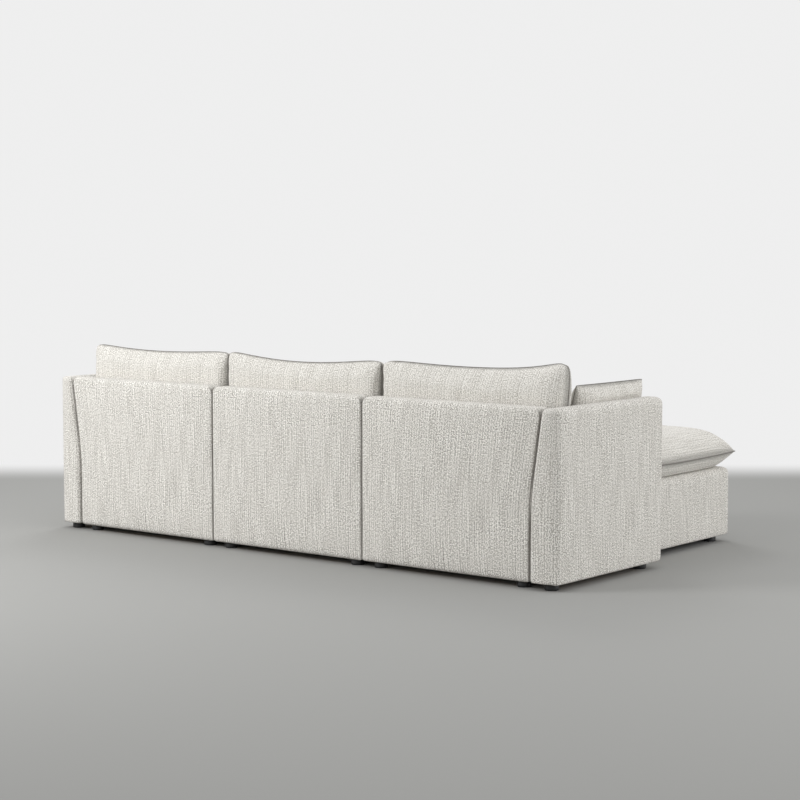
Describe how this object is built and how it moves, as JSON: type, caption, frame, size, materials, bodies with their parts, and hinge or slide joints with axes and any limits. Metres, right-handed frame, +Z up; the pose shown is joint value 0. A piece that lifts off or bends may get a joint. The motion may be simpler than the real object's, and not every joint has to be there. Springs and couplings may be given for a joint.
{
  "type": "sectional sofa with chaise",
  "caption": "Low modular fabric sofa: seat units in a row between slab arms, loose knife-edge cushions, and an ottoman that makes a chaise at one end.",
  "frame": {"origin": "on the floor, under the middle of the whole sofa's box", "axes": "+Z up; the sofa faces -Y; +X along the row towards the sitter's left arm, so the chaise is at -X"},
  "size_m": [2.672, 1.5328, 0.8362],
  "materials": {
    "upholstery": "off-white slubby weave with vertical slubs, matt",
    "cushion": "off-white slubby weave, matt, with a thin welt",
    "pillow": "off-white slubby weave, matt",
    "plywood": "raw sanded plywood",
    "webbing": "elastic woven webbing",
    "dust_cloth": "thin black non-woven cloth",
    "steel": "zinc-grey pressed steel",
    "foot": "black moulded plastic"
  },
  "bodies": {
    "sofa": {"left_base_cover": "upholstery", "left_base_frame": "plywood", "left_webbing": "webbing", "left_dust_cloth": "dust_cloth", "left_back_cover": "upholstery", "left_back_frame": "plywood", "left_foot_front_right": "foot", "left_foot_front_left": "foot", "left_foot_rear_right": "foot", "left_foot_rear_left": "foot", "middle_base_cover": "upholstery", "middle_base_frame": "plywood", "middle_webbing": "webbing", "middle_dust_cloth": "dust_cloth", "middle_back_cover": "upholstery", "middle_back_frame": "plywood", "middle_foot_front_right": "foot", "middle_foot_front_left": "foot", "middle_foot_rear_right": "foot", "middle_foot_rear_left": "foot", "right_base_cover": "upholstery", "right_base_frame": "plywood", "right_webbing": "webbing", "right_dust_cloth": "dust_cloth", "right_back_cover": "upholstery", "right_back_frame": "plywood", "right_foot_front_right": "foot", "right_foot_front_left": "foot", "right_foot_rear_right": "foot", "right_foot_rear_left": "foot", "left_arm_cover": "upholstery", "left_arm_frame": "plywood", "left_arm_foot_front": "foot", "left_arm_foot_rear": "foot", "right_arm_cover": "upholstery", "right_arm_frame": "plywood", "right_arm_foot_front": "foot", "right_arm_foot_rear": "foot", "left_arm_plate": "steel", "left_middle_plate": "steel", "middle_right_plate": "steel", "right_arm_plate": "steel"},
    "left_seat_cushion": {"left_seat_cushion": "cushion"},
    "left_back_cushion": {"left_back_cushion": "cushion"},
    "middle_seat_cushion": {"middle_seat_cushion": "cushion"},
    "middle_back_cushion": {"middle_back_cushion": "cushion"},
    "right_seat_cushion": {"right_seat_cushion": "cushion"},
    "right_back_cushion": {"right_back_cushion": "cushion"},
    "throw_pillow": {"throw_pillow": "pillow"},
    "ottoman": {"ottoman_base_cover": "upholstery", "ottoman_base_frame": "plywood", "ottoman_webbing": "webbing", "ottoman_dust_cloth": "dust_cloth", "ottoman_foot_front_right": "foot", "ottoman_foot_front_left": "foot", "ottoman_foot_rear_right": "foot", "ottoman_foot_rear_left": "foot"},
    "ottoman_cushion": {"ottoman_cushion": "cushion"}
  },
  "joints": [
    {"name": "left_seat_cushion_lift", "type": "slide", "parent": "sofa", "child": "left_seat_cushion", "axis": [0, 0, 1], "range_m": [0, 0.4]},
    {"name": "left_back_cushion_lift", "type": "slide", "parent": "left_seat_cushion", "child": "left_back_cushion", "axis": [0, 0, 1], "range_m": [0, 0.3]},
    {"name": "middle_seat_cushion_lift", "type": "slide", "parent": "sofa", "child": "middle_seat_cushion", "axis": [0, 0, 1], "range_m": [0, 0.4]},
    {"name": "middle_back_cushion_lift", "type": "slide", "parent": "middle_seat_cushion", "child": "middle_back_cushion", "axis": [0, 0, 1], "range_m": [0, 0.3]},
    {"name": "right_seat_cushion_lift", "type": "slide", "parent": "sofa", "child": "right_seat_cushion", "axis": [0, 0, 1], "range_m": [0, 0.4]},
    {"name": "right_back_cushion_lift", "type": "slide", "parent": "right_seat_cushion", "child": "right_back_cushion", "axis": [0, 0, 1], "range_m": [0, 0.3]},
    {"name": "throw_pillow_lift", "type": "slide", "parent": "right_seat_cushion", "child": "throw_pillow", "axis": [0, 0, 1], "range_m": [0, 0.3]},
    {"name": "ottoman_slide", "type": "slide", "parent": "sofa", "child": "ottoman", "axis": [0, -1, 0], "range_m": [0, 0.4]},
    {"name": "ottoman_cushion_lift", "type": "slide", "parent": "ottoman", "child": "ottoman_cushion", "axis": [0, 0, 1], "range_m": [0, 0.25]}
  ]
}
